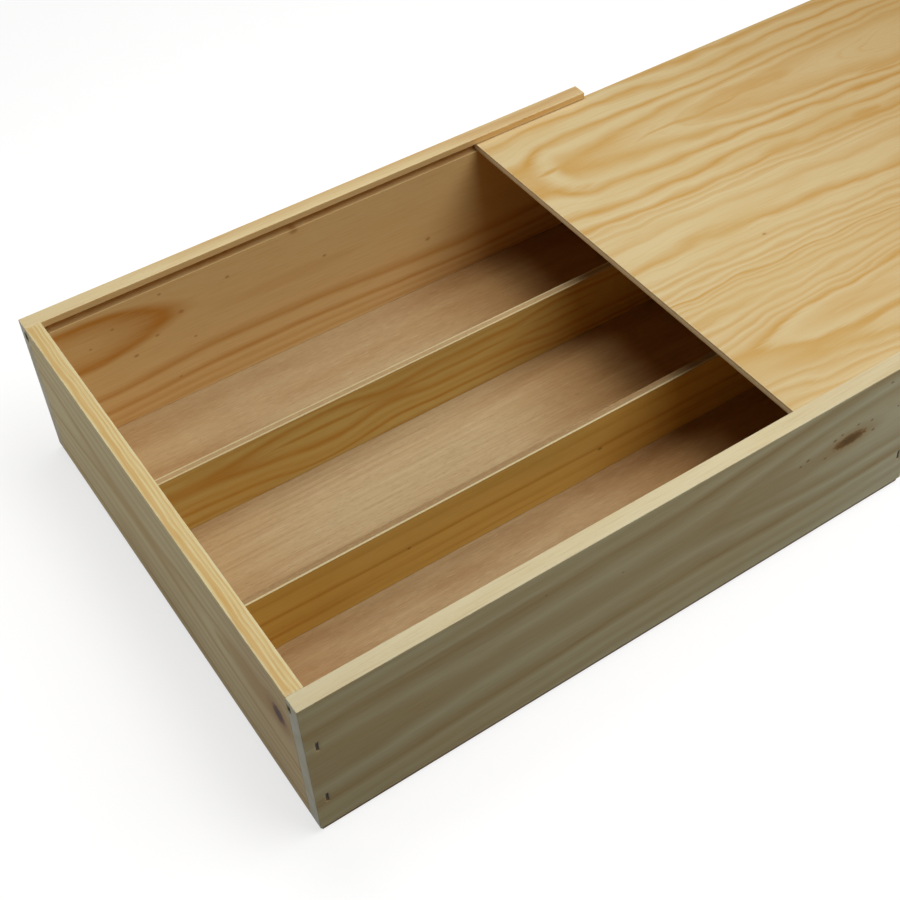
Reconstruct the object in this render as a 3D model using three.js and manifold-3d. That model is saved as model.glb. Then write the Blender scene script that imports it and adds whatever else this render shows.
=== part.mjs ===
// A wooden box for three bottles, with a lid that slides out at one end.
//
// Millimetres, +Z up. The origin is the middle of the floor panel's underside, where the box stands.
// +X points to the open end, the way the lid is drawn, and -Y is the front.
// Two long side boards cover the ends of the two end boards, a thin floor panel is stapled on from
// below, and two dividers stand on the floor panel between the end boards.

import * as THREE from 'three';
import { mergeVertices } from 'three/addons/utils/BufferGeometryUtils.js';
import Module from 'manifold-3d';

const wasm = await Module();
wasm.setup();

// Driving dimensions of the frame of boards
const boxLength = 350;
const boxWidth = 286;
const boardHeight = 90;
const sideThickness = 9;
const endThickness = 8.5;

// The floor panel stops a little short of the outer faces, so that its edge never stands proud
const floorThickness = 3;
const floorSetback = 1.2;

// The lid runs in a groove in both side boards and closes into one in the closed end board
const lidThickness = 4;
const lipHeight = 4;
const grooveDepth = 3;
const lidRunningClearance = 0.3;
const lidEdgeClearance = 0.5;
const lidDrawn = 266.8;

// The dividers are as long as the space between the end boards, less a fitting clearance at each end
const dividerHeight = 41;
const dividerThickness = 4.5;
const dividerEndClearance = 0.2;
const frontCompartmentWidth = 86.5;
const middleCompartmentWidth = 87;

// Staples of flattened wire hold all of it together, driven a little below the surface
const stapleCrownWidth = 5.8;
const stapleWireWidth = 1.25;
const stapleWireThickness = 1.05;
const stapleTipLength = 1.5;
const cornerStapleLeg = 25;
const floorStapleLeg = 16;
const cornerStapleSink = 0.8;
const floorStapleSink = 0.4;
const stapleClearance = 0.1;

// Where the staples sit on the boards that they go through, as shares of those boards' sizes
const cornerStapleInsetShare = 0.69;
const cornerStapleHeightShares = { lower: 0.23, upper: 0.67 };
const sideStapleShares = [-0.36, -0.12, 0.12, 0.36];
const endStapleShares = [-0.25, 0.25];
const dividerStapleShares = [-0.35, 0, 0.35];

// How far a cutting shape runs past the face that it cuts
const cutOverrun = 1;

// Sizes that follow from the ones above
const innerWidth = boxWidth - 2 * sideThickness;
const innerLength = boxLength - 2 * endThickness;
const grooveHeight = lidThickness + 2 * lidRunningClearance;
const ledgeHeight = boardHeight - lipHeight - grooveHeight;
const lidWidth = innerWidth + 2 * (grooveDepth - lidEdgeClearance);
const lidLength = boxLength - endThickness + grooveDepth - lidEdgeClearance;

// Colours and finishes
function wood(colour, roughness) {
  return new THREE.MeshStandardMaterial({ color: colour, roughness, metalness: 0 });
}
const sideBoardPine = wood(0xd9bd86, 0.6);
const endBoardPine = wood(0xd2b077, 0.6);
const lidPine = wood(0xdcc08a, 0.55);
const dividerPine = wood(0xc99f55, 0.6);
const floorPly = wood(0xb78d63, 0.7);
const stapleSteel = new THREE.MeshStandardMaterial({ color: 0x6f6a62, roughness: 0.45, metalness: 0.9 });

// A closed geometry as a solid that can be cut
function solidOf(geometry) {
  const bare = geometry.clone();
  bare.deleteAttribute('normal');
  bare.deleteAttribute('uv');
  const merged = mergeVertices(bare);
  return new wasm.Manifold(new wasm.Mesh({
    numProp: 3,
    vertProperties: new Float32Array(merged.attributes.position.array),
    triVerts: new Uint32Array(merged.index.array),
  }));
}

// A cut solid back as a geometry
function geometryOf(solid) {
  const { vertProperties, triVerts } = solid.getMesh();
  const geometry = new THREE.BufferGeometry();
  geometry.setAttribute('position', new THREE.BufferAttribute(vertProperties, 3));
  geometry.setIndex(new THREE.BufferAttribute(triVerts, 1));
  geometry.computeVertexNormals();
  return geometry;
}

// A block centred in X and Y that stands on Z = 0
function standingBlock(length, width, height) {
  return new THREE.BoxGeometry(length, width, height).translate(0, 0, height / 2);
}

// The section of a grooved board, seen along its length. The outer face is on U = 0, the lower edge on
// V = 0, and the groove for the lid opens in the inner face, under the lip.
function groovedSection(thickness) {
  const grooveFloor = thickness - grooveDepth;
  const lipUnderside = boardHeight - lipHeight;
  const section = new THREE.Shape();
  section.moveTo(0, 0);
  section.lineTo(thickness, 0);
  section.lineTo(thickness, ledgeHeight);
  section.lineTo(grooveFloor, ledgeHeight);
  section.lineTo(grooveFloor, lipUnderside);
  section.lineTo(thickness, lipUnderside);
  section.lineTo(thickness, boardHeight);
  section.lineTo(0, boardHeight);
  section.closePath();
  return section;
}

// A grooved board along X, its outer face on Y = 0 and its inner face towards +Y
function groovedBoard(length, thickness) {
  const board = new THREE.ExtrudeGeometry(groovedSection(thickness), { depth: length, bevelEnabled: false });
  const alongLength = new THREE.Matrix4().makeBasis(
    new THREE.Vector3(0, 1, 0),
    new THREE.Vector3(0, 0, 1),
    new THREE.Vector3(1, 0, 0),
  );
  return board.translate(0, 0, -length / 2).applyMatrix4(alongLength);
}

// The outline of a staple in its own plane: the crown's outer edge lies on Y = 0, the legs point to +Y
// and end in a chisel point on their inner side. It grows by a clearance on every side for its hole,
// which also rises to the open surface.
function stapleOutline(leg, clearance, rise) {
  const outer = stapleCrownWidth / 2 + clearance;
  const inner = stapleCrownWidth / 2 - stapleWireWidth - clearance;
  const crownInside = stapleWireWidth + clearance;
  const tip = leg + clearance;
  const shoulder = tip - stapleTipLength;
  const outline = new THREE.Shape();
  outline.moveTo(-outer, -rise);
  outline.lineTo(outer, -rise);
  outline.lineTo(outer, tip);
  outline.lineTo(inner, shoulder);
  outline.lineTo(inner, crownInside);
  outline.lineTo(-inner, crownInside);
  outline.lineTo(-inner, shoulder);
  outline.lineTo(-outer, tip);
  outline.closePath();
  return outline;
}

function stapleGeometry(leg) {
  const outline = stapleOutline(leg, 0, 0);
  const wire = new THREE.ExtrudeGeometry(outline, { depth: stapleWireThickness, bevelEnabled: false });
  return wire.translate(0, 0, -stapleWireThickness / 2);
}

function stapleHole(leg, sink) {
  const width = stapleWireThickness + 2 * stapleClearance;
  const outline = stapleOutline(leg, stapleClearance, sink + cutOverrun);
  const hole = new THREE.ExtrudeGeometry(outline, { depth: width, bevelEnabled: false });
  return hole.translate(0, 0, -width / 2);
}

const box = new THREE.Group();
const lid = new THREE.Group();
const boards = [];
const staples = [];

// Adds a wooden piece, whose staple holes are cut once every staple has its place
function addBoard(group, name, geometry, material, x, y, z, turn = 0) {
  const board = new THREE.Mesh(geometry, material.clone());
  board.name = name;
  board.position.set(x, y, z);
  board.rotation.z = turn;
  group.add(board);
  boards.push(board);
}

// Adds a staple whose legs point along `drive`, whose crown lies along `crown`, at a point of the surface
function addStaple(name, leg, sink, surfacePoint, drive, crown) {
  const staple = new THREE.Mesh(stapleGeometry(leg), stapleSteel.clone());
  staple.name = name;
  const across = new THREE.Vector3().crossVectors(crown, drive);
  staple.setRotationFromMatrix(new THREE.Matrix4().makeBasis(crown, drive, across));
  staple.position.copy(surfacePoint).addScaledVector(drive, sink);
  staple.userData.hole = stapleHole(leg, sink);
  box.add(staple);
  staples.push(staple);
}

// Cuts the hole of each staple that reaches into a board
function cutStapleHoles(board) {
  board.updateWorldMatrix(true, false);
  const intoBoard = board.matrixWorld.clone().invert();
  board.geometry.computeBoundingBox();
  let solid = solidOf(board.geometry);
  for (const staple of staples) {
    staple.updateWorldMatrix(true, false);
    const hole = staple.userData.hole.clone().applyMatrix4(staple.matrixWorld).applyMatrix4(intoBoard);
    hole.computeBoundingBox();
    if (hole.boundingBox.intersectsBox(board.geometry.boundingBox)) {
      solid = solid.subtract(solidOf(hole));
    }
  }
  board.geometry = geometryOf(solid);
}

// The frame of four boards, which stands on the floor panel
function addFrame() {
  const side = groovedBoard(boxLength, sideThickness);
  addBoard(box, 'side_board_front', side, sideBoardPine, 0, -boxWidth / 2, floorThickness);
  addBoard(box, 'side_board_back', side, sideBoardPine, 0, boxWidth / 2, floorThickness, Math.PI);

  const closedEnd = groovedBoard(innerWidth, endThickness);
  addBoard(box, 'end_board_closed', closedEnd, endBoardPine, -boxLength / 2, 0, floorThickness, -Math.PI / 2);

  // The lid passes over the open end board, which stops at the grooves' lower edge
  const openEnd = standingBlock(endThickness, innerWidth, ledgeHeight);
  const openEndX = boxLength / 2 - endThickness / 2;
  addBoard(box, 'end_board_open', openEnd, endBoardPine, openEndX, 0, floorThickness);
}

function addFloor() {
  const length = boxLength - 2 * floorSetback;
  const width = boxWidth - 2 * floorSetback;
  addBoard(box, 'floor_panel', standingBlock(length, width, floorThickness), floorPly, 0, 0, 0);
}

// The middle planes of the two dividers
const frontDividerY = -innerWidth / 2 + frontCompartmentWidth + dividerThickness / 2;
const backDividerY = frontDividerY + dividerThickness + middleCompartmentWidth;

function addDividers() {
  const divider = standingBlock(innerLength - 2 * dividerEndClearance, dividerThickness, dividerHeight);
  addBoard(box, 'divider_front', divider, dividerPine, 0, frontDividerY, floorThickness);
  addBoard(box, 'divider_back', divider, dividerPine, 0, backDividerY, floorThickness);
}

// The lid, drawn most of the way out
function addLid() {
  const panel = standingBlock(lidLength, lidWidth, lidThickness);
  const closedX = boxLength / 2 - lidLength / 2;
  const lidZ = floorThickness + ledgeHeight + lidRunningClearance;
  addBoard(lid, 'sliding_lid', panel, lidPine, closedX, 0, lidZ);
  lid.position.x = lidDrawn;
}

const alongX = new THREE.Vector3(1, 0, 0);
const alongY = new THREE.Vector3(0, 1, 0);
const alongZ = new THREE.Vector3(0, 0, 1);

// Two staples at each corner, through the side board into the end board's end grain, crown upright
function addCornerStaples() {
  const stapleX = boxLength / 2 - endThickness * cornerStapleInsetShare;
  for (const [face, side] of [['front', -1], ['back', 1]]) {
    for (const [end, along] of [['closed', -1], ['open', 1]]) {
      for (const [level, share] of Object.entries(cornerStapleHeightShares)) {
        const height = floorThickness + boardHeight * share;
        const point = new THREE.Vector3(along * stapleX, side * boxWidth / 2, height);
        const drive = alongY.clone().multiplyScalar(-side);
        const name = `corner_staple_${face}_${end}_${level}`;
        addStaple(name, cornerStapleLeg, cornerStapleSink, point, drive, alongZ);
      }
    }
  }
}

// A row of staples up through the floor panel, with their crowns along the row
function addFloorStaples(name, shares, rowLength, middle, row) {
  shares.forEach((share, index) => {
    const point = middle.clone().addScaledVector(row, rowLength * share);
    addStaple(`${name}_${index + 1}`, floorStapleLeg, floorStapleSink, point, alongZ, row);
  });
}

function addAllFloorStaples() {
  const sideY = boxWidth / 2 - sideThickness / 2;
  const endX = boxLength / 2 - endThickness / 2;
  const rows = [
    ['floor_staple_front', sideStapleShares, boxLength, new THREE.Vector3(0, -sideY, 0), alongX],
    ['floor_staple_back', sideStapleShares, boxLength, new THREE.Vector3(0, sideY, 0), alongX],
    ['floor_staple_closed', endStapleShares, innerWidth, new THREE.Vector3(-endX, 0, 0), alongY],
    ['floor_staple_open', endStapleShares, innerWidth, new THREE.Vector3(endX, 0, 0), alongY],
    ['divider_staple_front', dividerStapleShares, innerLength, new THREE.Vector3(0, frontDividerY, 0), alongX],
    ['divider_staple_back', dividerStapleShares, innerLength, new THREE.Vector3(0, backDividerY, 0), alongX],
  ];
  for (const row of rows) {
    addFloorStaples(...row);
  }
}

addFrame();
addFloor();
addDividers();
addLid();
addCornerStaples();
addAllFloorStaples();
boards.forEach(cutStapleHoles);

const bottleBox = new THREE.Group();
bottleBox.add(box, lid);

export default bottleBox;
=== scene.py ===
"""A wooden box for three bottles, with its lid drawn most of the way out.

The frame gives every place and size. Here the boards get eased edges, pressed-in staple marks and
wood that is worked out from how the log grew: each board has its own pith lines and growth lines.
"""
from math import pi, radians

import bmesh
import bpy
import numpy as np
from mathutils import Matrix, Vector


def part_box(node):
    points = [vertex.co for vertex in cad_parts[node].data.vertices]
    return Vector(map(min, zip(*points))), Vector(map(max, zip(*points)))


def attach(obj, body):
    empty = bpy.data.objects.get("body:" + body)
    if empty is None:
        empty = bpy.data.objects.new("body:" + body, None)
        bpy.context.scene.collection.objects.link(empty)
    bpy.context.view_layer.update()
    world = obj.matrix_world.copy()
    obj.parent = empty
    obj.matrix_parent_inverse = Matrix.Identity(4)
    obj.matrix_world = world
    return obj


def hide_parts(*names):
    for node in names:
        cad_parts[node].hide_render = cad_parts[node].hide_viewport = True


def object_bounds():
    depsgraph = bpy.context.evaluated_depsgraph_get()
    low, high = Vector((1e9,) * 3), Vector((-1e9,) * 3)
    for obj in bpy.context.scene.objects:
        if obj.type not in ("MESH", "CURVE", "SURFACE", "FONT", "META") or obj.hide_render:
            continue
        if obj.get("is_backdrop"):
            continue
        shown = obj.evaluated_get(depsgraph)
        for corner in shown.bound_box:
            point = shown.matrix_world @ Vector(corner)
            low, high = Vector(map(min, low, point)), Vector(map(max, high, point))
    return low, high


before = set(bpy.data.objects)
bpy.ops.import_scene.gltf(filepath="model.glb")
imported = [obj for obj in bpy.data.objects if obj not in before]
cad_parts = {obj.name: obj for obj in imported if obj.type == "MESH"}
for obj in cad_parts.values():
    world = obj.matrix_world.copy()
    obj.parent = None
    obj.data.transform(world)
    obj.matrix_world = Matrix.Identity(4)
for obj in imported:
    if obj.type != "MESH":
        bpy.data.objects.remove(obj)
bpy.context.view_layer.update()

MM = 0.001


def span(node):
    """A node's lowest and highest corner, in millimetres."""
    low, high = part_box(node)
    return np.array(low) / MM, np.array(high) / MM


FRONT_LOW, FRONT_HIGH = span("side_board_front")
BACK_LOW, BACK_HIGH = span("side_board_back")
CLOSED_LOW, CLOSED_HIGH = span("end_board_closed")
OPEN_LOW, OPEN_HIGH = span("end_board_open")
LID_LOW, LID_HIGH = span("sliding_lid")
FLOOR_LOW, FLOOR_HIGH = span("floor_panel")
NEAR_DIVIDER_LOW, NEAR_DIVIDER_HIGH = span("divider_front")
FAR_DIVIDER_LOW, FAR_DIVIDER_HIGH = span("divider_back")
STAPLE_SPANS = [span("corner_staple_front_closed_" + which) for which in ("lower", "upper")]
STAPLE_HEIGHTS = [(low[2] + high[2]) / 2 for low, high in STAPLE_SPANS]
STAPLE_X = abs(STAPLE_SPANS[0][0][0] + STAPLE_SPANS[0][1][0]) / 2

# The groove for the lid, in millimetres, and where its lower and upper walls are
GROOVE_DEPTH = 3.0
GROOVE_WIDTH = 4.6
GROOVE_LOW = OPEN_HIGH[2]
GROOVE_HIGH = GROOVE_LOW + GROOVE_WIDTH


# Materials


class Reading:
    """A value or colour that changes over a surface. Its operators add Math nodes to its sheet."""

    def __init__(self, sheet, socket):
        self.sheet, self.socket = sheet, socket

    def __add__(self, other):
        return self.sheet.maths("ADD", self, other)

    def __radd__(self, other):
        return self.sheet.maths("ADD", other, self)

    def __sub__(self, other):
        return self.sheet.maths("SUBTRACT", self, other)

    def __rsub__(self, other):
        return self.sheet.maths("SUBTRACT", other, self)

    def __mul__(self, other):
        return self.sheet.maths("MULTIPLY", self, other)

    def __rmul__(self, other):
        return self.sheet.maths("MULTIPLY", other, self)

    def __truediv__(self, other):
        return self.sheet.maths("DIVIDE", self, other)

    def __rtruediv__(self, other):
        return self.sheet.maths("DIVIDE", other, self)

    def __abs__(self):
        return self.sheet.maths("ABSOLUTE", self)


class Sheet:
    """The node tree of a material or of the world, written as expressions on readings."""

    def __init__(self, owner):
        owner.use_nodes = True
        self.owner, self.tree = owner, owner.node_tree
        self.tree.nodes.clear()

    def add(self, kind, settings=None, sockets=None, output=0):
        """Adds a node: its settings first, then the values or links of its sockets."""
        node = self.tree.nodes.new(kind)
        for key, value in (settings or {}).items():
            if key == "stops":
                self.set_stops(node.color_ramp, value)
            else:
                setattr(node, key, value)
        for key, value in (sockets or {}).items():
            if isinstance(value, Reading):
                self.tree.links.new(value.socket, node.inputs[key])
            else:
                node.inputs[key].default_value = value
        return Reading(self, node.outputs[output]) if node.outputs else node

    @staticmethod
    def set_stops(ramp, stops):
        """A ramp's stops, each a place from 0 to 1 and a grey."""
        while len(ramp.elements) > 1:
            ramp.elements.remove(ramp.elements[-1])
        for index, (place, tone) in enumerate(stops):
            element = ramp.elements[0] if index == 0 else ramp.elements.new(place)
            element.position = place
            element.color = grey(tone)

    def maths(self, operation, *values):
        return self.add("ShaderNodeMath", {"operation": operation}, dict(enumerate(values)))

    def rise(self, value, start, end):
        """0 before start, 1 after end, and an S-curve between them."""
        names = ("Value", "From Min", "From Max")
        sockets = dict(zip(names, (value, start, end)))
        return self.add("ShaderNodeMapRange", {"interpolation_type": "SMOOTHSTEP"}, sockets)

    def parts(self, vector):
        node = self.add("ShaderNodeSeparateXYZ", None, {0: vector}).socket.node
        return [Reading(self, socket) for socket in node.outputs]

    def joined(self, x, y, z):
        return self.add("ShaderNodeCombineXYZ", None, {0: x, 1: y, 2: z})

    def noise(self, vector, detail=2.0, roughness=0.5, distortion=0.0):
        sockets = {"Vector": vector, "Scale": 1.0, "Detail": detail, "Roughness": roughness,
                   "Distortion": distortion}
        return self.add("ShaderNodeTexNoise", {"noise_dimensions": "3D"}, sockets)

    def drawn_noise(self, place, reach, detail=2.0, roughness=0.5):
        """Noise drawn out along the grain, over a reach along it and a reach across it."""
        along, across, depth = place
        length, width = reach
        where = self.joined(along / length, across / width, depth / width)
        return self.noise(where, detail, roughness)

    def line_noise(self, value, detail=2.0):
        """Noise along a single reading."""
        sockets = {"W": value, "Scale": 1.0, "Detail": detail}
        return self.add("ShaderNodeTexNoise", {"noise_dimensions": "1D"}, sockets)

    def mix(self, share, first, second, blend="MIX"):
        """From the first colour to the second, by a share."""
        sockets = {0: share, 6: first, 7: second}
        return self.add("ShaderNodeMix", {"data_type": "RGBA", "blend_type": blend}, sockets, 2)

    def attribute(self, name):
        return self.add("ShaderNodeAttribute", {"attribute_name": name}, None, "Fac")

    def places(self):
        """X, Y and Z on the piece, in millimetres."""
        place = self.add("ShaderNodeTexCoord", None, None, "Object")
        scaled = {0: place, "Scale": 1 / MM}
        return self.parts(self.add("ShaderNodeVectorMath", {"operation": "SCALE"}, scaled))

    def facing(self):
        """How squarely the surface faces along X, Y and Z, from 0 to 1."""
        normal = self.add("ShaderNodeTexCoord", None, None, "Normal")
        return [abs(part) for part in self.parts(normal)]


def grey(value):
    """A grey, by the share of light that it gives."""
    return (value, value, value, 1.0)


def tint(red, green, blue):
    """A colour as it is seen on a display, 0 to 255, turned into the light that a shader takes."""
    seen = np.array((red, green, blue)) / 255
    light = np.where(seen > 0.04045, ((seen + 0.055) / 1.055) ** 2.4, seen / 12.92)
    return (*light.tolist(), 1.0)


def sway(sheet, place, reach, size):
    """A slow wander of the grain, in millimetres, up to about a third of size either way."""
    return (sheet.drawn_noise(place, reach, 1.0) - 0.5) * size


def pith_square(sheet, along, across, depth, pith):
    """The square of the distance from a pith line that runs along the board.

    It is the distance across the grain from the line's middle, squared, plus the line's cover under
    the surface, squared. The cover falls or rises between the two ends of each bend, and grows
    with the depth into the board. A bend with a reach fades as a bell curve away from the line."""
    middle, slope = pith["middle"], pith.get("slope", 0.0)
    off = across - (along * slope + middle) if slope else across - middle
    off_square = off * off
    total = off_square + pith["cover"] ** 2
    for start, end, change, *reach in pith.get("bends", ()):
        bend = sheet.rise(along, start, end) * change
        for length in reach:
            bend = bend * sheet.maths("EXPONENT", off_square * (-1.0 / length ** 2))
        total = total + bend
    lean = pith.get("lean", 0.0)
    return total + depth * (depth + lean) if lean else total


def log_distance(sheet, along, across, depth, piths, merge):
    """The distance from the nearest pith line, with the fields of neighbouring lines merged."""
    total = None
    for pith in piths:
        square = pith_square(sheet, along, across, depth, pith)
        radius = sheet.maths("SQRT", sheet.maths("MAXIMUM", square, 1.0)) + pith.get("offset", 0.0)
        total = radius if total is None else sheet.maths("SMOOTH_MIN", total, radius, merge)
    return total


def growth_lines(sheet, radius, lines, fall):
    """How dark the late wood is at a distance from the pith, from 0 to 1.

    Each line is its distance, the width over which the wood darkens towards the bark, and how dark
    it gets. Past its distance the next spring's pale wood starts within the fall."""
    reach = lines[-1][0] + 6.0
    dark = None
    for first in range(0, len(lines), 9):
        stops, last = [(0.0, 0.0)], 0.01
        for distance, width, strength in lines[first:first + 9]:
            start = max(distance - width, last + 0.01)
            last = distance + fall
            stops += [(start / reach, 0.0), (distance / reach, strength), (last / reach, 0.0)]
        share = sheet.add("ShaderNodeValToRGB", {"stops": stops}, {"Fac": radius / reach})
        dark = share if dark is None else sheet.maths("MAXIMUM", dark, share)
    return dark


def bell(sheet, first, second, spot):
    """1 in the middle of a spot and less around it, as a bell curve over its two radii."""
    place_first, place_second, radius_first, radius_second = spot
    one = (first - place_first) / radius_first
    other = (second - place_second) / radius_second
    return sheet.maths("EXPONENT", (one * one + other * other) * -1.0)


def nearest(sheet, first, second, spots):
    """The distance to the nearest of some spots, as a share of each spot's own two radii."""
    best = None
    for place_first, place_second, radius_first, radius_second in spots:
        one = (first - place_first) / radius_first
        other = (second - place_second) / radius_second
        square = one * one + other * other
        best = square if best is None else sheet.maths("MINIMUM", best, square)
    return sheet.maths("SQRT", best)


# The relief of the grain in millimetres, how little bare wood shines, and how rough it is
WOOD_RELIEF = 0.12
WOOD_SHINE = 0.12
BOARD_ROUGHNESS = 0.56
PLY_ROUGHNESS = 0.55
FLOOR_ROUGHNESS = 0.52


def wood_finish(sheet, colour, height, roughness):
    """Bare planed wood: the relief goes through a bump, and the rest straight to the shader."""
    bump = sheet.add("ShaderNodeBump", None, {
        "Strength": 0.55, "Distance": WOOD_RELIEF * MM, "Height": height})
    sockets = {"Base Color": colour, "Roughness": roughness, "Normal": bump,
               "Specular IOR Level": WOOD_SHINE}
    shader = sheet.add("ShaderNodeBsdfPrincipled", None, sockets)
    sheet.add("ShaderNodeOutputMaterial", None, {"Surface": shader})
    return sheet.owner


# How far each noise in the wood runs along and across the grain, in millimetres
WANDER_REACH = (75.0, 26.0)
FIBRE_REACH = (26.0, 0.55)
UNEVEN_REACH = (45.0, 7.0)
DRIFT_REACH = (120.0, 22.0)
DASH_REACH = (2.6, 0.28)
# A knot bends the growth lines round it this far out, in its own radii along and across
KNOT_REACH = (2.2, 2.6)


def grain(sheet, along, across, depth, wood, is_edge=0.0):
    """The colour and the relief of a board's long grain.

    From the pith lines come the growth lines, from noise drawn out along the grain the fibres and
    the short resin dashes, and from slow noise the drift from pale to warm. Over its length a board
    may take painted shade, for the lamps' fall-off along it and for the little light under the lid,
    and the front board painted light towards its right end; on the lid it is partly a real tan
    patch as well. In spots a board may take painted shade too. The narrow long edges of a board
    have their own two colours, and painted shade along the board where the light falls off."""
    place = (along, across, depth)
    wavy = wood["wavy"]
    *ripple_reach, ripple_size = wood["ripple"]
    wander = sway(sheet, place, WANDER_REACH, 5.0 * wavy)
    ripple = sway(sheet, place, ripple_reach, ripple_size * wavy)
    line_across = across + wander + ripple
    for *spot, shift in wood["swells"]:
        line_across = line_across + bell(sheet, along, across, spot) * shift
    radius = log_distance(sheet, along, line_across, depth, wood["piths"], wood["merge"])
    knots = wood["knots"]
    if knots:
        wide = [(a, c, KNOT_REACH[0] * ra, KNOT_REACH[1] * rc) for a, c, ra, rc in knots]
        around = nearest(sheet, along, across, wide)
        radius = radius - sheet.maths("EXPONENT", around * around * -1.0) * wood["knot_pull"]
    fibre = sheet.drawn_noise(place, FIBRE_REACH, 3.0, 0.6)
    radius = radius + (fibre - 0.5) * wood["fray"]
    uneven = sheet.drawn_noise(place, UNEVEN_REACH)
    late = growth_lines(sheet, radius, wood["lines"], wood["fall"]) * (uneven * 0.7 + 0.65)
    for *spot, strength in wood["streaks"]:
        streak = bell(sheet, along, line_across, spot)
        late = sheet.maths("MAXIMUM", late, sheet.rise(streak, 0.15, 0.75) * strength)
    thin = sheet.line_noise(radius * wood["thin_pitch"], 3.0)
    thin = sheet.rise(thin, 0.5, 0.78) * wood["thin"]
    late = sheet.maths("MINIMUM", late + thin * (1 - late), 1.0)

    drift = sheet.drawn_noise(place, DRIFT_REACH)
    dash = sheet.rise(sheet.drawn_noise(place, DASH_REACH, 1.0), 0.66, 0.78)

    early_colour, late_colour = wood["early"], wood["late"]
    slow = sheet.rise(drift, 0.42, 0.72) * wood["drift"]
    if isinstance(is_edge, Reading):
        early_colour = sheet.mix(is_edge, early_colour, wood["edge"])
        late_colour = sheet.mix(is_edge, late_colour, wood["edge_late"])
        slow = slow * (1 - is_edge * 0.7)
    colour = sheet.mix(late, early_colour, late_colour)
    colour = sheet.mix(slow, colour, wood["warm"])
    colour = sheet.mix(sheet.rise(fibre, 0.45, 0.8) * wood["fibre"], colour, wood["late"])
    colour = sheet.mix(sheet.rise(fibre, 0.55, 0.25) * 0.2, colour, wood["pale"])
    colour = sheet.mix(dash * wood["dash"], colour, wood["dark"])
    # Painted light and painted shade along the board: each drift multiplies the colour over a
    # stretch
    for start, end, tone in wood["painted_light_and_tone_drifts"]:
        colour = sheet.mix(sheet.rise(along, start, end) * (1 - is_edge), colour, tone, "MULTIPLY")
    # Painted shade in spots
    for *spot, tone in wood["painted_shades"]:
        colour = sheet.mix(bell(sheet, along, across, spot), colour, tone, "MULTIPLY")
    # Painted shade along the top edges, where the light falls off along the board
    for start, end, tone in wood["edge_shade_drifts"]:
        colour = sheet.mix(sheet.rise(along, start, end) * is_edge, colour, tone, "MULTIPLY")
    if knots:
        inside = nearest(sheet, along, across, knots)
        crumbs = sheet.noise(sheet.joined(along / 2.4, across / 0.8, depth / 3), 4.0, 0.65)
        ragged = inside + (crumbs - 0.5) * 1.3
        colour = sheet.mix((1 - sheet.rise(inside, 0.7, 2.8)) * 0.65, colour, wood["halo"])
        colour = sheet.mix((1 - sheet.rise(ragged, 0.8, 1.15)) * 0.9, colour, wood["knot"])
        colour = sheet.mix((1 - sheet.rise(ragged, 0.35, 1.0)) * 0.95, colour, wood["heart"])
    pins = wood["pins"]
    if pins:
        spot = nearest(sheet, along, across, [(a, c, r * 1.5, r) for a, c, r in pins])
        colour = sheet.mix((1 - sheet.rise(spot, 0.3, 1.6)) * 0.85, colour, wood["pin"])
    height = late * 0.5 + fibre * 0.6 - dash * 0.5
    return colour, height, late


def end_grain(sheet, first, second, late, wood):
    """An end of a board: pale and bluish, a painted reflection of the white surroundings, with the
    growth lines as arcs and the cut fibres as fine specks.
    """
    specks = sheet.noise(sheet.joined(first / 0.35, second / 0.35, 0.0), 2.0, 0.7)
    saw = sheet.noise(sheet.joined(first / 9, second / 0.5, 0.0), 2.0)
    colour = sheet.mix(late * 0.8, wood["end"], wood["end_late"])
    colour = sheet.mix(sheet.rise(specks, 0.42, 0.75) * 0.55, colour, wood["end_late"])
    colour = sheet.mix(sheet.rise(saw, 0.5, 0.8) * 0.25, colour, wood["pale"])
    return colour, specks * 0.9 + saw * 0.4


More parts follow.
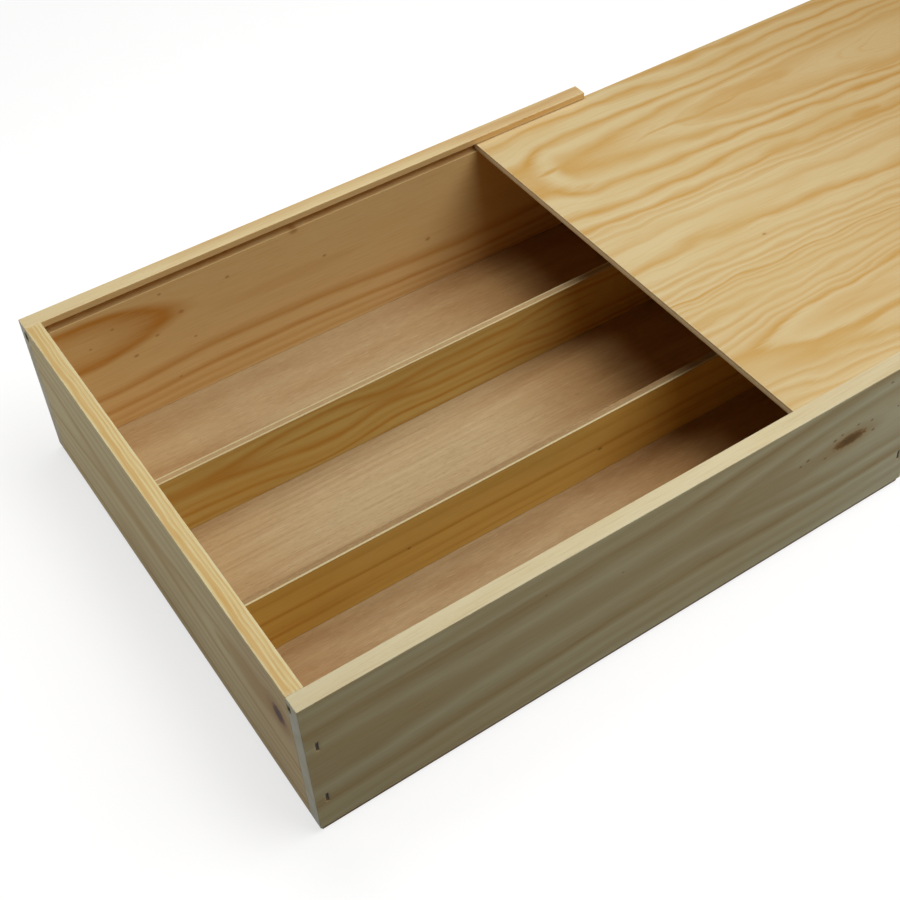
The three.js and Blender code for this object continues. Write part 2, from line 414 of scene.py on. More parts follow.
def solid_board(name, wood):
    """A board of solid pine. The wood's axes say which way is along, across and into the board.

    The walls of a groove take painted shade, over the depths where the groove runs and along the
    board from where the lid runs in it."""
    sheet = Sheet(bpy.data.materials.new(name))
    places, faces = sheet.places(), sheet.facing()
    length, width, thickness = wood["axes"]
    along, across = places[length], places[width]
    depth = (places[thickness] - wood["face"]) * wood["inwards"]
    is_edge = sheet.rise(faces[width], 0.6, 0.8)
    colour, height, late = grain(sheet, along, across, depth, wood, is_edge)
    end_colour, end_height = end_grain(sheet, across, depth, late, wood)
    is_end = sheet.rise(faces[length], 0.6, 0.8)
    colour = sheet.mix(is_end, colour, end_colour)
    height = height + (end_height - height) * is_end
    edge = 1 - sheet.rise(sheet.attribute("to_edge"), 0.0, 1.1)
    wear_and_shade_noise = sheet.noise(sheet.joined(places[0] / 9, places[1] / 9, places[2] / 9), 3.0)
    colour = sheet.mix(edge * sheet.rise(wear_and_shade_noise, 0.35, 0.75) * 0.5, colour, wood["pale"])
    # Painted shade on the walls of the lid's groove, broken up by the same noise as the worn edges
    for first, last, start in wood["groove"]:
        groove_shade = sheet.rise(depth, first - 0.4, first - 0.1)
        groove_shade = groove_shade * (1 - sheet.rise(depth, last + 0.1, last + 0.4))
        groove_shade = groove_shade * sheet.rise(places[2], GROOVE_LOW - 0.15, GROOVE_LOW - 0.02)
        groove_shade = groove_shade * sheet.rise(along, start, start + 0.5)
        groove_shade = groove_shade * (1 - sheet.rise(places[2], GROOVE_HIGH + 0.05, GROOVE_HIGH + 0.15))
        colour = sheet.mix(groove_shade * (wear_and_shade_noise * 0.5 + 0.5), colour, wood["groove_shade"], "MULTIPLY")
    # Painted shade in the staple slots, darkest where they are pressed deepest
    pressed = sheet.rise(sheet.attribute("pressed"), 0.02, 0.7)
    colour = sheet.mix(pressed * 0.92, colour, wood["hole"])
    roughness = sheet.maths("MINIMUM", height * 0.12 + is_end * 0.2 + BOARD_ROUGHNESS, 0.95)
    return wood_finish(sheet, colour, height, roughness)


# The second face of a plywood shows another part of the same log, this far along and across
BACK_FACE_SHIFT = (90.0, 17.0)
# How far a ply's seam wobbles, and how soft it is, in millimetres
SEAM_WOBBLE = 0.25
SEAM_SOFTNESS = 0.07


def plywood(name, wood):
    """Three plies. The two faces have their own figure, and the core's grain runs across them.

    On an edge the face plies show along the grain where the core shows its end, and the other way
    round on the ends. The edge of the second face ply may have a colour of its own."""
    sheet = Sheet(bpy.data.materials.new(name))
    places, faces = sheet.places(), sheet.facing()
    length, width, thickness = wood["axes"]
    along, across = places[length], places[width]
    under = (places[thickness] - wood["face"]) * wood["inwards"]
    total = wood["thickness"]
    back_face = sheet.rise(under, total * 0.49, total * 0.51)
    shown_along = along + back_face * BACK_FACE_SHIFT[0]
    shown_across = across + back_face * BACK_FACE_SHIFT[1]
    colour, height, late = grain(sheet, shown_along, shown_across, under * 0.0, wood)

    veneer = wood["veneer"]
    level = under + sway(sheet, places, (30.0, 30.0), SEAM_WOBBLE)
    core = sheet.rise(level, veneer - SEAM_SOFTNESS, veneer + SEAM_SOFTNESS)
    last = total - veneer
    core = core * (1 - sheet.rise(level, last - SEAM_SOFTNESS, last + SEAM_SOFTNESS))
    is_edge = 1 - sheet.rise(faces[thickness], 0.5, 0.8)
    is_end = sheet.rise(faces[length], 0.6, 0.8)
    cut = core + is_end - core * is_end * 2
    streak = sheet.noise(sheet.joined(places[0] / 3.2, places[1] / 3.2, under / 0.3), 3.0)
    speck = sheet.noise(sheet.joined(places[0] / 0.4, places[1] / 0.4, places[2] / 0.3), 2.0, 0.7)
    along_grain = sheet.mix(back_face, wood["ply_long"], wood.get("ply_back", wood["ply_long"]))
    edge_colour = sheet.mix(cut, along_grain, wood["ply_cut"])
    edge_colour = sheet.mix(sheet.rise(speck, 0.45, 0.8) * 0.6, edge_colour, wood["dark"])
    edge_colour = sheet.mix(sheet.rise(streak, 0.45, 0.8) * 0.4, edge_colour, wood["pale"])
    seam = sheet.maths("MINIMUM", abs(level - veneer), abs(level - last))
    edge_colour = sheet.mix((1 - sheet.rise(seam, 0.05, 0.22)) * 0.4, edge_colour, wood["seam"])
    colour = sheet.mix(is_edge, colour, edge_colour)
    height = height * (1 - is_edge) + (speck * 0.9 - cut * 0.4) * is_edge
    rim = 1 - sheet.rise(sheet.attribute("to_edge"), 0.0, 0.9)
    colour = sheet.mix(rim * (1 - is_edge) * 0.35, colour, wood["ply_cut"])
    roughness = sheet.maths("MINIMUM", height * 0.12 + is_edge * 0.15 + PLY_ROUGHNESS, 0.95)
    return wood_finish(sheet, colour, height, roughness)


# Shapes


def line_points(start, end, spacing, near=()):
    """Places from start to end, at most a spacing apart, and close together near some of them."""
    count = max(int(np.ceil(abs(end - start) / spacing)), 1)
    places = [np.linspace(start, end, count + 1)]
    for middle, reach, step in near:
        close = np.arange(middle - reach, middle + reach + step / 2, step)
        places.append(close[(close > min(start, end)) & (close < max(start, end))])
    places = np.unique(np.round(np.concatenate(places), 4))
    gaps = np.concatenate(([True], np.diff(places) > 0.05))
    gaps[-1] = True
    places = places[gaps]
    return places if end > start else places[::-1]


# Next to a corner that points inwards no edge wears, so its distances count as these and more
FROM_INNER_CORNER = 3.0
FROM_INNER_RUN = 9.0


def eased_outline(corners, radius, steps=4, spacing=6.0, near=()):
    """A closed outline through corners, given anticlockwise, with every corner a quarter round.

    A point of a corner is its centre plus the radius times the cosine of one side's outward
    direction and the sine of the other's. Gives the points, their outward directions and their
    distances along the outline from the nearest corner that stands out."""
    corners = np.array(corners, float)
    ahead = np.roll(corners, -1, 0) - corners
    ahead /= np.linalg.norm(ahead, axis=1)[:, None]
    outward = np.stack((ahead[:, 1], -ahead[:, 0]), 1)
    arcs = []
    for index, corner in enumerate(corners):
        before, after = outward[index - 1], outward[index]
        came, goes = ahead[index - 1], ahead[index]
        side = 1.0 if came[0] * goes[1] > came[1] * goes[0] else -1.0
        turn = np.linspace(0, pi / 2, steps + 1)[:, None]
        away = before * np.cos(turn) + after * np.sin(turn)
        arcs.append((corner - side * radius * (before + after) + side * radius * away, away, side))
    points, normals, to_edge = [], [], []
    for index, (arc, away, side) in enumerate(arcs):
        points.append(arc)
        normals.append(away)
        to_edge.append(np.full(len(arc), 0.0 if side > 0 else FROM_INNER_CORNER))
        start, end = arc[-1], arcs[(index + 1) % len(arcs)][0][0]
        axis = int(np.argmax(np.abs(end - start)))
        run = line_points(start[axis], end[axis], spacing, near if axis == 1 else ())[1:-1]
        share = ((run - start[axis]) / (end[axis] - start[axis]))[:, None]
        points.append(start + (end - start) * share)
        normals.append(np.repeat(outward[index][None], len(run), 0))
        length = abs(end[axis] - start[axis])
        gone = share[:, 0] * length
        next_side = arcs[(index + 1) % len(arcs)][2]
        before, after = (0.0 if turn > 0 else FROM_INNER_RUN for turn in (side, next_side))
        to_edge.append(np.minimum(gone + before, length - gone + after))
    return np.concatenate(points), np.concatenate(normals), np.concatenate(to_edge)


def carried_board(name, outline, stations, place, radius, material, press=None):
    """A section carried along a straight line: ring after ring of the outline, closed at both ends.

    The rings next to an end shrink along the outline's inward directions by the radius times one
    less the sine of a turn, while they move in from the end by the radius times one less its
    cosine, so that the end's edges are eased as well. A press is a function of the points that
    gives how far a tool has pushed them into the board."""
    points, normals, to_edge = outline
    turn = np.linspace(0, pi / 2, 4)
    inset, moved = radius * (1 - np.sin(turn)), radius * (1 - np.cos(turn))
    shrink = np.concatenate((inset, np.zeros(len(stations)), moved))
    low, high = stations[0], stations[-1]
    inner = np.clip(stations, low + radius, high - radius)
    run = np.concatenate((low + moved, inner, high - inset))
    keep = np.concatenate(([True], np.diff(run) > 1e-6))
    shrink, run = shrink[keep], run[keep]
    count, rings = len(points), len(run)
    flat = points[None] - normals[None] * shrink[:, None, None]
    solid = np.concatenate((flat, np.repeat(run[:, None, None], count, 1)), 2).reshape(-1, 3)
    outwards = np.concatenate((np.repeat(normals[None], rings, 0), np.zeros((rings, count, 1))), 2)
    outwards = outwards.reshape(-1, 3)
    pushed = np.zeros(len(solid))
    if press:
        pushed = press(solid, outwards)
        solid = solid - outwards * pushed[:, None]
    ring, spot = np.meshgrid(np.arange(rings - 1), np.arange(count), indexing="ij")
    beside = (spot + 1) % count
    quads = np.stack((ring * count + spot, ring * count + beside, (ring + 1) * count + beside,
                      (ring + 1) * count + spot), -1).reshape(-1, 4)
    ends = [list(range(count))[::-1], list(range((rings - 1) * count, rings * count))]
    mesh = bpy.data.meshes.new(name)
    mesh.from_pydata((place(solid) * MM).tolist(), [], quads.tolist() + ends)
    end_gap = np.repeat(np.minimum(run - low, high - run), count)
    edge = np.minimum(np.tile(to_edge, rings), end_gap)
    for key, values in (("to_edge", edge), ("pressed", pushed)):
        layer = mesh.attributes.new(key, "FLOAT", "POINT")
        layer.data.foreach_set("value", values.astype(np.float32))
    work = bmesh.new()
    work.from_mesh(mesh)
    bmesh.ops.recalc_face_normals(work, faces=work.faces)
    work.to_mesh(mesh)
    work.free()
    mesh.materials.append(material)
    piece = bpy.data.objects.new(name, mesh)
    bpy.context.scene.collection.objects.link(piece)
    return piece


def stand_for(piece, node, body):
    """The piece rides on a body and stands in for a node, which is hidden."""
    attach(piece, body)
    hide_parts(node)


def grooved(thickness, bottom, top):
    """The section of a grooved board: U from the outer face inwards, V up."""
    floor = thickness - GROOVE_DEPTH
    return ((0, bottom), (thickness, bottom), (thickness, GROOVE_LOW), (floor, GROOVE_LOW),
            (floor, GROOVE_HIGH), (thickness, GROOVE_HIGH), (thickness, top), (0, top))


def rectangle(width, bottom, top):
    """A plain section, given as a grooved one is."""
    return ((0, bottom), (width, bottom), (width, top), (0, top))


# The woods, board by board. Colours first, and then where each board's pith and growth lines are

# What a wood has unless it says otherwise. "ripple" is a reach along, a reach across and a size,
# "merge" how softly its pith lines meet, "fray" how ragged its growth lines are, "fall" how soft
# their bark side is, "thin_pitch" how close its thinnest lines lie, and "drift", "fibre" and "dash"
# how strong these are. The rest are the marks that only some boards have; the drifts along a board
# and along its edges and the shaded spots among them are painted light and painted shade
PLAIN_GRAIN = {
    "ripple": (17.0, 9.0, 1.6), "merge": 3.0, "fray": 1.2, "fall": 0.6, "thin_pitch": 0.8,
    "drift": 0.5, "fibre": 0.3, "dash": 0.22, "swells": (), "streaks": (), "painted_light_and_tone_drifts": (),
    "edge_shade_drifts": (), "painted_shades": (), "knots": (), "pins": (), "groove": (),
}

PINE = {
    **PLAIN_GRAIN,
    "early": tint(213, 191, 145), "late": tint(188, 150, 94), "warm": tint(203, 172, 122),
    # The staple slots' colour is painted shade in the slots
    "pale": tint(224, 208, 168), "dark": tint(156, 116, 66), "hole": tint(84, 54, 32),
    # The end colours are pale and bluish: a painted reflection of the white surroundings on the end
    # grain
    "edge": tint(217, 200, 154), "edge_late": tint(196, 156, 98), "end": tint(238, 236, 222),
    # The groove walls' colour is painted shade
    "end_late": tint(216, 208, 184), "groove_shade": tint(212, 176, 128),
}

LID_WOOD = {
    **PLAIN_GRAIN,
    "early": tint(214, 193, 147), "late": tint(197, 153, 81), "warm": tint(205, 176, 120),
    "pale": tint(222, 204, 160), "dark": tint(162, 120, 64), "pin": tint(168, 126, 74),
    "ply_long": tint(234, 218, 182), "ply_cut": tint(222, 200, 158), "seam": tint(150, 110, 70),
    "axes": (0, 1, 2), "face": LID_HIGH[2], "inwards": -1.0,
    "thickness": LID_HIGH[2] - LID_LOW[2], "veneer": 0.9,
    "wavy": 0.8, "ripple": (30.0, 12.0, 9.375), "thin": 0.22, "thin_pitch": 0.62, "merge": 4.0,
    "fibre": 0.22, "dash": 0.12, "fall": 2.5,
    "piths": (
        {"middle": 89.3, "slope": -0.0375, "cover": 52.1,
         "bends": ((103, 128, -720, 50), (112, 175, -120, 30), (150, 290, -900, 30),
                   (260, 420, -950, 30))},
        {"middle": -91.0, "cover": 20.8, "offset": 116.0,
         "bends": ((92, 170, -150), (170, 230, -50))},
        {"middle": -93.0, "slope": -0.107, "cover": 21.6, "offset": 116.0,
         "bends": ((98, 146, -62), (146, 200, -60))},
    ),
    "swells": ((280, -22, 60, 25, 6.5), (248, 119, 45, 16, 5.0), (248, 41, 45, 14, -4.0),
               (150, 2, 30, 12, -4.0)),
    "lines": (
        (37.7, 10.6, 0.6), (45.0, 3.2, 0.95), (53.5, 4.0, 1.0), (65.5, 4.0, 0.95),
        (74.5, 4.0, 0.95), (77.6, 1.2, 0.6), (81.7, 1.4, 0.6), (91.5, 5.0, 0.5), (108.0, 6.5, 0.9),
        (118.6, 1.4, 0.55), (123.3, 1.8, 0.7), (129.0, 1.8, 0.65), (132.9, 1.6, 0.55),
        (136.2, 2.4, 1.0), (138.8, 1.0, 0.7), (142.1, 2.2, 0.75), (147.3, 2.6, 0.7),
        (152.7, 3.2, 0.7), (165.0, 3.0, 0.5),
    ),
    "streaks": ((216, 82.2, 48, 1.5, 0.8), (126, 89, 26, 2.2, 0.85), (298, 25, 14, 2.4, 0.8),
                (188, -91.5, 24, 5.0, 0.4), (119, 66, 11, 3.2, 0.5), (114, 104, 10, 3.0, 0.4),
                (262, 87, 38, 7.5, 0.65), (345, 56, 24, 3.0, 0.6)),
    # The drift darkens and warms the lid towards its drawn-out end: painted shade for the lamps'
    # fall-off, and partly a real tan patch
    "pins": ((175.3, -24.2, 0.8),), "painted_light_and_tone_drifts": ((120, 430, (0.84, 0.75, 0.62, 1.0)),),
}

FRONT_WOOD = {
    **PINE, "early": tint(206, 194, 153), "late": tint(166, 134, 81), "warm": tint(194, 173, 124),
    "pale": tint(216, 209, 174), "edge": tint(219, 206, 168), "edge_late": tint(208, 189, 144),
    "halo": tint(180, 148, 98), "knot": tint(140, 100, 42), "heart": tint(104, 72, 28),
    "axes": (0, 2, 1), "face": FRONT_LOW[1], "inwards": 1.0, "wavy": 0.8, "thin": 0.04, "fall": 3.6,
    # The staple slots' colour here is painted shade, and the groove's walls take painted shade from
    # the closed end's inner face on
    "groove": ((6.0, 9.0, CLOSED_HIGH[0]),), "pin": tint(140, 100, 56), "hole": tint(122, 94, 62),
    # Painted shade on the top edge towards the right, and painted light, lighter and bluer, on the
    # face towards its right end
    "edge_shade_drifts": ((20, 170, (0.95, 0.92, 0.9, 1.0)),),
    "painted_light_and_tone_drifts": ((50, 150, (1.07, 1.13, 1.24, 1.0)), (115, 165, (1.08, 1.09, 1.13, 1.0))),
    "piths": (
        {"middle": 54.0, "slope": 0.04, "cover": 20.2, "lean": 38.0,
         "bends": ((-175, -75, 113), (20, 130, -400))},
    ),
    "lines": ((22.0, 8.0, 0.6), (33.5, 9.0, 0.75), (42.0, 6.0, 0.3), (49.5, 5.0, 0.4)),
    "streaks": ((80, 57.5, 48, 9.0, 0.5), (-75, 76.5, 95, 3.6, 0.6), (25, 36, 45, 6.0, 0.35)),
    "knots": ((128.0, 60.8, 10.5, 3.8),), "knot_pull": 7.0,
    "pins": ((100.5, 63.0, 0.8), (96.0, 61.5, 0.6), (117.5, 66.2, 0.8), (122.0, 67.5, 0.6),
             (132.5, 68.5, 0.6), (142.0, 66.0, 0.6), (144.2, 58.0, 0.7), (112.5, 57.0, 0.6),
             (-53.8, 76.0, 0.4), (-11.2, 60.5, 0.4), (160.0, 65.0, 0.5), (151.5, 86.0, 0.6)),
}

BACK_WOOD = {
    **PINE, "early": tint(230, 196, 137), "late": tint(198, 134, 51), "warm": tint(220, 177, 109),
    "pale": tint(230, 206, 156), "edge": tint(223, 204, 158), "pin": tint(188, 140, 84),
    # Painted shade on the top edge towards the right
    "edge_shade_drifts": ((20, 170, (0.95, 0.92, 0.9, 1.0)),),
    "axes": (0, 2, 1), "face": BACK_LOW[1], "inwards": 1.0, "wavy": 0.6, "thin": 0.06, "fall": 2.2,
    # Painted shade on the groove's walls, and on the inner face where it runs under the lid
    "groove": ((0.0, 3.0, CLOSED_HIGH[0]),), "drift": 0.2,
    "painted_light_and_tone_drifts": ((10, 120, (1.0, 0.95, 0.86, 1.0)),),
    "piths": (
        {"middle": 65.3, "cover": 18.6, "lean": 30.0, "bends": ((-148, -70, 350),)},
    ),
    "swells": ((100, 25, 90, 22, 7.0), (140, 100, 60, 30, 3.0)),
    "lines": ((23.6, 5.5, 1.0), (42.8, 4.6, 0.7), (53.0, 3.4, 0.7), (59.0, 3.0, 0.35),
              (64.0, 3.0, 0.4)),
    "streaks": ((-30, 54, 45, 4.0, 0.2), (-152, 68, 26, 8.0, 0.15)),
    "pins": ((-117.8, 73.2, 0.8), (-94.5, 62.4, 1.1), (-132.8, 69.9, 0.7), (-146.5, 63.2, 0.6),
             (-110.2, 53.6, 0.8), (-124.0, 46.2, 0.9), (-104.0, 79.4, 0.7), (-65.2, 71.9, 0.8),
             (-89.5, 41.9, 0.6), (-22.8, 83.2, 1.7), (61.0, 37.4, 1.1), (-6.5, 58.0, 0.8),
             (-102.8, 18.9, 0.6)),
}

CLOSED_END_WOOD = {
    **PINE, "early": tint(224, 208, 160), "late": tint(186, 148, 88), "warm": tint(208, 186, 138),
    "pale": tint(231, 221, 183), "edge": tint(229, 211, 158), "edge_late": tint(208, 166, 95),
    "knot": tint(106, 70, 52), "heart": tint(40, 22, 18), "halo": tint(160, 122, 84),
    "axes": (1, 2, 0), "face": CLOSED_LOW[0], "inwards": 1.0,
    "wavy": 0.8, "thin": 0.08, "fall": 1.6,
    # Painted shade on the groove's walls and towards the front, and on the lower middle of the
    # outer face
    "groove": ((5.5, 8.5, CLOSED_LOW[1] - 1),), "painted_light_and_tone_drifts": ((-62, -108, (0.9, 0.84, 0.81, 1.0)),),
    "painted_shades": ((0, 8, 70, 22, (0.77, 0.71, 0.63, 1.0)),),
    "piths": (
        {"middle": 53.0, "cover": 16.0, "lean": 60.0,
         "bends": ((-110, 17, 210, 25), (40, 130, -180, 25))},
    ),
    "lines": ((21.6, 2.6, 0.7), (26.5, 3.0, 0.35), (33.0, 3.0, 0.4), (39.0, 2.0, 0.3),
              (44.3, 0.9, 0.75), (45.7, 0.8, 0.75), (47.1, 0.8, 0.8), (48.5, 0.8, 0.75)),
    "streaks": ((-100, 63, 36, 12.0, 0.65), (-84, 65, 11, 3.5, 0.5), (-69, 56, 9, 3.8, 0.6),
                (17, 53, 9, 3.0, 0.7), (40, 20, 24, 13.0, 0.3)),
    "knots": ((-121.8, 66.0, 5.6, 5.6),), "knot_pull": 10.0,
}

OPEN_END_WOOD = {
    **PINE, "axes": (1, 2, 0), "face": OPEN_HIGH[0], "inwards": -1.0, "wavy": 0.7, "thin": 0.25,
    "piths": (
        {"middle": 20.0, "cover": 17.0, "lean": 50.0, "bends": ((-90, 60, 260), (70, 140, -120))},
    ),
    "lines": ((20.0, 2.0, 0.7), (25.5, 3.0, 0.5), (32.0, 3.0, 0.5), (38.0, 2.0, 0.6),
              (46.0, 2.0, 0.5), (53.0, 2.0, 0.5), (60.0, 2.0, 0.5)),
}

DIVIDER_PLY = {
    **PLAIN_GRAIN,
    "early": tint(209, 180, 106), "late": tint(186, 124, 34), "warm": tint(202, 160, 80),
    "pale": tint(220, 196, 130), "dark": tint(150, 106, 46),
    "ply_long": tint(208, 190, 148), "ply_cut": tint(180, 151, 110), "seam": tint(136, 100, 62),
    "axes": (0, 2, 1), "inwards": 1.0,
    "thickness": FAR_DIVIDER_HIGH[1] - FAR_DIVIDER_LOW[1], "veneer": 1.2, "wavy": 0.8, "thin": 0.08,
    # The drift is painted shade where the dividers run in under the lid
    "fibre": 0.25, "fray": 0.8, "fall": 1.5, "painted_light_and_tone_drifts": ((25, 100, (0.97, 0.88, 0.74, 1.0)),),
}

FAR_DIVIDER_WOOD = {
    **DIVIDER_PLY, "face": FAR_DIVIDER_LOW[1],
    "piths": (
        {"middle": 28.1, "slope": -0.0167, "cover": 14.0,
         "bends": ((-144, -54, -90), (-54, -21, 60), (-21, 8, -40), (58, 90, -60))},
    ),
    "swells": ((-66, 8, 35, 9, 4.5),),
    "lines": ((13.8, 2.2, 0.75), (17.6, 1.6, 0.35), (21.0, 2.8, 0.85), (27.3, 2.4, 0.65)),
    "streaks": ((-60, 29.6, 38, 1.4, 0.65), (16, 28.4, 46, 1.4, 0.65), (86, 24.2, 28, 1.4, 0.6),
                (92, 30.5, 30, 1.0, 0.4), (-130, 38, 14, 5.0, 0.2)),
}

NEAR_DIVIDER_WOOD = {
    **DIVIDER_PLY, "face": NEAR_DIVIDER_LOW[1], "wavy": 0.45, "early": tint(221, 180, 95),
    "ply_back": tint(162, 132, 96), "ply_cut": tint(160, 131, 95), "ply_long": tint(212, 198, 158),
    "pin": tint(142, 98, 48),
    # Painted shade towards the closed end and where the divider runs in under the lid
    "painted_light_and_tone_drifts": ((-75, -135, (0.96, 0.93, 0.84, 1.0)), (20, 90, (0.97, 0.87, 0.7, 1.0))),
    "piths": ({"middle": 92.0, "slope": -0.012, "cover": 8.0},),
    "lines": ((57.0, 4.5, 0.3), (69.5, 2.6, 0.7), (79.0, 4.0, 0.35)),
    "streaks": ((-128, 12.0, 45, 1.6, 0.6), (-30, 8.0, 60, 1.2, 0.3), (110, 15.0, 50, 1.3, 0.35)),
    "pins": ((-67.8, 23.5, 0.7), (49.8, 21.0, 0.9)),
}

FLOOR_WOOD = {
    "pale": tint(183, 158, 118), "brown": tint(170, 138, 97), "mottle": tint(194, 170, 128),
    "fibre": tint(153, 115, 73), "fleck": tint(208, 187, 150), "pore": tint(132, 94, 58),
    # The second colour below is painted shade for the front compartment
    "pale_ribbon": tint(198, 178, 138), "front_compartment_shade": tint(236, 226, 220),
    "pale_streak": tint(212, 192, 160), "dark_streak": tint(150, 116, 76),
    # Painted shade under the lid and next to the closed end
    "under_lid_shade": tint(251, 225, 190), "closed_end_shade": tint(252, 244, 236),
    "outer_ply_edge": tint(124, 88, 56), "core_edge": tint(82, 52, 32),
    "edge_speck": tint(62, 38, 24), "thickness": FLOOR_HIGH[2] - FLOOR_LOW[2], "veneer": 0.8,
}


def floor_board(name, wood):
    """Thin plywood with an open-pored face: short pores and light flecks along the grain, with
    painted shade in the front compartment, under the lid and next to the closed end.
    """
    sheet = Sheet(bpy.data.materials.new(name))
    places, faces = sheet.places(), sheet.facing()
    along, across, up = places
    ribbon = sheet.noise(sheet.joined(along / 160, across / 16, up), 3.0)
    mottle = sheet.noise(sheet.joined(along / 34, across / 9, up), 3.0, 0.6)
    fibre = sheet.noise(sheet.joined(along / 24, across / 0.6, up / 0.6), 3.0, 0.6)
    pore = sheet.noise(sheet.joined(along / 3.4, across / 0.28, up / 0.4), 2.0, 0.4, 0.3)
    fleck = sheet.noise(sheet.joined(along / 8.0 + 40.0, across / 0.42, up / 0.5), 2.0)
    colour = sheet.mix(sheet.rise(ribbon, 0.3, 0.7), wood["pale"], wood["brown"])
    pale_ribbon = bell(sheet, along, across, (-45, 12, 110, 26))
    colour = sheet.mix(pale_ribbon * (ribbon * 0.6 + 0.3), colour, wood["pale_ribbon"])
    # Painted shade in the front compartment, cast by the front board and the near divider
    front_compartment_shade = bell(sheet, along, across, (-60, -74, 260, 20))
    colour = sheet.mix(front_compartment_shade * 0.8, colour, wood["front_compartment_shade"], "MULTIPLY")
    colour = sheet.mix(sheet.rise(mottle, 0.35, 0.75) * 0.35, colour, wood["mottle"])
    colour = sheet.mix(sheet.rise(fibre, 0.45, 0.8) * 0.35, colour, wood["fibre"])
    colour = sheet.mix(sheet.rise(fleck, 0.48, 0.72) * 0.32, colour, wood["fleck"])
    streak = sheet.noise(sheet.joined(along / 70 + 9.0, across / 1.9, up), 3.0, 0.6)
    outer = sheet.rise(across, 35.0, 55.0) + sheet.rise(across, -35.0, -55.0)
    shown = 1 - outer * 0.6
    colour = sheet.mix(sheet.rise(streak, 0.48, 0.75) * shown * 0.28, colour, wood["pale_streak"])
    colour = sheet.mix(sheet.rise(streak, 0.5, 0.25) * shown * 0.24, colour, wood["dark_streak"])
    # Painted shade under the lid and next to the closed end
    colour = sheet.mix(sheet.rise(along, 0.0, 130.0), colour, wood["under_lid_shade"], "MULTIPLY")
    colour = sheet.mix(sheet.rise(along, -70.0, -160.0), colour, wood["closed_end_shade"], "MULTIPLY")
    colour = sheet.mix(sheet.rise(pore, 0.6, 0.72) * 0.3, colour, wood["pore"])
    under = FLOOR_HIGH[2] - up
    veneer, last = wood["veneer"], wood["thickness"] - wood["veneer"]
    core = sheet.rise(under, veneer - 0.05, veneer + 0.05)
    core = core * (1 - sheet.rise(under, last - 0.05, last + 0.05))
    is_edge = 1 - sheet.rise(faces[2], 0.5, 0.8)
    speck = sheet.noise(sheet.joined(along / 0.4, across / 0.4, up / 0.3), 2.0, 0.7)
    edge_colour = sheet.mix(core, wood["outer_ply_edge"], wood["core_edge"])
    edge_colour = sheet.mix(sheet.rise(speck, 0.45, 0.8) * 0.5, edge_colour, wood["edge_speck"])
    colour = sheet.mix(is_edge, colour, edge_colour)
    height = fibre * 0.5 - sheet.rise(pore, 0.6, 0.72) + speck * is_edge
    roughness = sheet.maths("MINIMUM", fibre * 0.12 + FLOOR_ROUGHNESS, 0.95)
    return wood_finish(sheet, colour, height, roughness)


# The relief of the drawn wire in millimetres, and its colours
WIRE_RELIEF = 0.03
WIRE = tint(54, 42, 31)
RUST = tint(66, 40, 24)
WOOD_FIBRES = tint(124, 98, 66)


def staple_wire(name):
    """Dull flattened wire: drawn along its length, with a little rust where it meets the wood.

    The corner staples' crowns lie in the wood, whose fibres close over both of their ends."""
    sheet = Sheet(bpy.data.materials.new(name))
    x, y, z = sheet.places()
    drawn = sheet.noise(sheet.joined(x / 0.3, y / 0.3, z / 0.3), 3.0, 0.6)
    rust = sheet.noise(sheet.joined(x / 1.4, y / 1.4, z / 1.4), 4.0, 0.65)
    spots = sheet.rise(rust, 0.5, 0.7)
    colour = sheet.mix(spots, WIRE, RUST)
    low, high = (abs(z - height) for height in STAPLE_HEIGHTS)
    from_middle = sheet.maths("MINIMUM", low, high) + (rust - 0.5) * 1.6
    covered = sheet.rise(from_middle, 1.1, 2.5) * (1 - sheet.rise(from_middle, 4.0, 5.0))
    colour = sheet.mix(covered * 0.8, colour, WOOD_FIBRES)
    bump = sheet.add("ShaderNodeBump", None, {
        "Strength": 0.4, "Distance": WIRE_RELIEF * MM, "Height": drawn})
    sockets = {"Base Color": colour, "Metallic": (1 - spots) * (1 - covered) * 0.3,
               "Roughness": drawn * 0.25 + 0.5, "Normal": bump}
    shader = sheet.add("ShaderNodeBsdfPrincipled", None, sockets)
    sheet.add("ShaderNodeOutputMaterial", None, {"Surface": shader})
    return sheet.owner


# The pieces

# The radius of the edges, in millimetres
EASING = 0.35
DIVIDER_EASING = 0.22
LID_EASING = 0.25

# The slots of the corner staples, in millimetres
SLOT_HALF_WIDTH = 0.64
SLOT_HALF_LENGTH = 2.95
SLOT_DEPTH = 0.9
SLOT_WALL = 0.25
BRUISE_DEPTH = 0.12
BRUISE_REACH = 3.0


def staple_press(points, outwards):
    """How deep the corner staples are driven into the outer face of a side board.

    A slot as long and wide as a crown and a little over, whose walls fall in over a quarter of a
    millimetre, with a shallow bruise round it that fades as a bell curve of the distance."""
    pushed = np.zeros(len(points))
    for end in (-1, 1):
        for height in STAPLE_HEIGHTS:
            off = np.abs(points[:, 2] - end * STAPLE_X) - SLOT_HALF_WIDTH
            up = np.abs(points[:, 1] - height) - SLOT_HALF_LENGTH
            gap = np.maximum(off, up)
            bruise = BRUISE_DEPTH * np.exp(-np.clip(gap, 0, None) ** 2 / 0.5)
            slot = SLOT_DEPTH * np.clip(0.5 - gap / SLOT_WALL, 0, 1)
            pushed = np.maximum(pushed, np.maximum(bruise * (gap < BRUISE_REACH), slot))
    return pushed * (outwards[:, 0] < -0.99)


def along_x(start, way=1):
    """Gives a carried section its place: the run along X, the width along Y from start, Z up."""
    return lambda p: np.stack((p[:, 2], start + way * p[:, 0], p[:, 1]), 1)


def along_y(start, way=1):
    """Gives a carried section its place: the run along Y, the width along X from start, Z up."""
    return lambda p: np.stack((start + way * p[:, 0], p[:, 2], p[:, 1]), 1)


